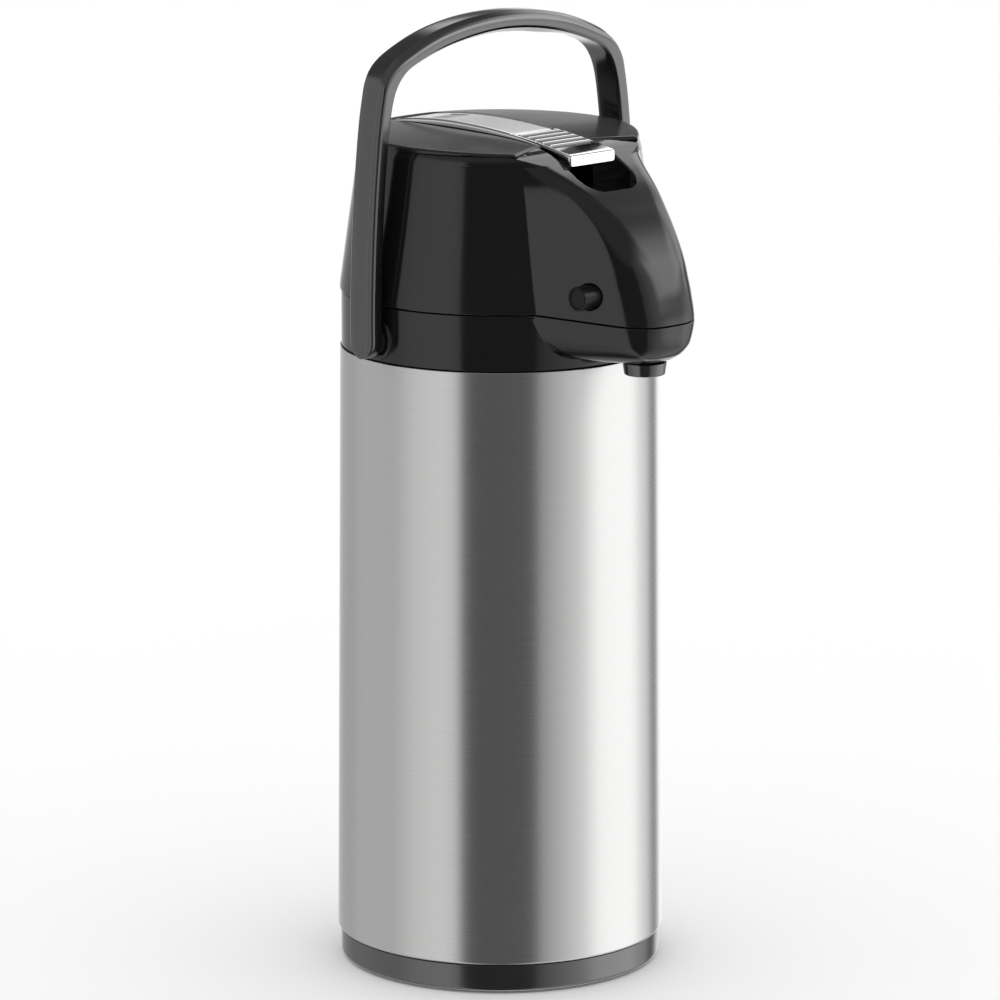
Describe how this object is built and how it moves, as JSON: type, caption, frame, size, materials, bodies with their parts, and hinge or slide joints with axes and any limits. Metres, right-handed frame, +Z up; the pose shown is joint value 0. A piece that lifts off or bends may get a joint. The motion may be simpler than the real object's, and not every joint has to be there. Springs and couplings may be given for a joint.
{
  "type": "thermal coffee airpot",
  "caption": "Insulated pump dispenser for hot drinks, with a brushed steel body, a hinged pump lid with press lever, a pouring beak and a folding carry handle.",
  "frame": {"origin": "centre of the foot, on the surface the airpot stands on", "axes": "+Z up; the spout points along -Y; +X is across the body, along the axis the handle swings about"},
  "size_m": [0.182, 0.2131, 0.4835],
  "materials": {
    "body_steel": "brushed around the body",
    "gloss_black": "polished",
    "satin_black": "satin",
    "white_plastic": "satin",
    "chrome": "polished",
    "rubber": "matt",
    "silicone": "matt",
    "silvered_glass": "polished",
    "steel_wire": "plain"
  },
  "bodies": {
    "vessel": {"foot_ring": "rubber", "base_ring": "gloss_black", "bottom_cap": "satin_black", "liner_cushion": "rubber", "body_shell": "body_steel", "shell_seal": "rubber", "liner_outer": "silvered_glass", "liner_inner": "silvered_glass", "neck_gasket": "silicone", "collar": "gloss_black", "mouth_packing": "silicone", "dip_tube": "white_plastic", "dip_tube_foot": "silicone", "spout_elbow": "white_plastic", "nozzle": "gloss_black", "lid_hinge_pin": "steel_wire", "handle_pin_left": "satin_black", "handle_pin_right": "satin_black", "pivot_washer_left": "satin_black", "pivot_washer_right": "satin_black"},
    "lid": {"lid_shell": "gloss_black", "top_cover": "satin_black", "lid_inner_plate": "satin_black", "lever_pin": "steel_wire", "pump_base": "white_plastic", "outlet_seal": "silicone", "outlet_valve": "silicone", "pump_bellows": "white_plastic", "pump_spring": "steel_wire", "plate_screw_1": "steel_wire", "plate_screw_2": "steel_wire", "plate_screw_3": "steel_wire", "plate_screw_4": "steel_wire", "plate_post_1": "satin_black", "plate_post_2": "satin_black", "plate_post_3": "satin_black", "plate_post_4": "satin_black", "latch_spring": "steel_wire"},
    "lever": {"lever": "chrome", "lever_presser": "satin_black"},
    "pump": {"pump_plate": "white_plastic", "inlet_valve": "silicone"},
    "release": {"release_button": "gloss_black", "latch_arm": "satin_black"},
    "handle": {"handle": "gloss_black"}
  },
  "joints": [
    {"name": "lid_hinge", "type": "hinge", "parent": "vessel", "child": "lid", "pos_m": [0, 0.0845, 0.347], "axis": [-1, 0, 0], "range_deg": [0, 20]},
    {"name": "lever_press", "type": "hinge", "parent": "lid", "child": "lever", "pos_m": [0, 0.054, 0.4175], "axis": [1, 0, 0], "range_deg": [0, 10], "stiffness_Nm_per_rad": 8, "springref_deg": -5.73},
    {"name": "pump_slide", "type": "slide", "parent": "lid", "child": "pump", "axis": [0, 0, -1], "range_m": [0, 0.01], "deforming": ["pump_bellows", "pump_spring"]},
    {"name": "release_press", "type": "slide", "parent": "lid", "child": "release", "axis": [1, 0, 0], "range_m": [0, 0.005], "stiffness_N_per_m": 400, "springref_m": -0.002, "deforming": ["latch_spring"]},
    {"name": "handle_swing", "type": "hinge", "parent": "vessel", "child": "handle", "pos_m": [0, 0.0035, 0.3275], "axis": [1, 0, 0], "range_deg": [-90, 90]}
  ],
  "couplings": [
    {"joint": "pump_slide", "follows": "lever_press", "m_per_rad": 0.056}
  ]
}
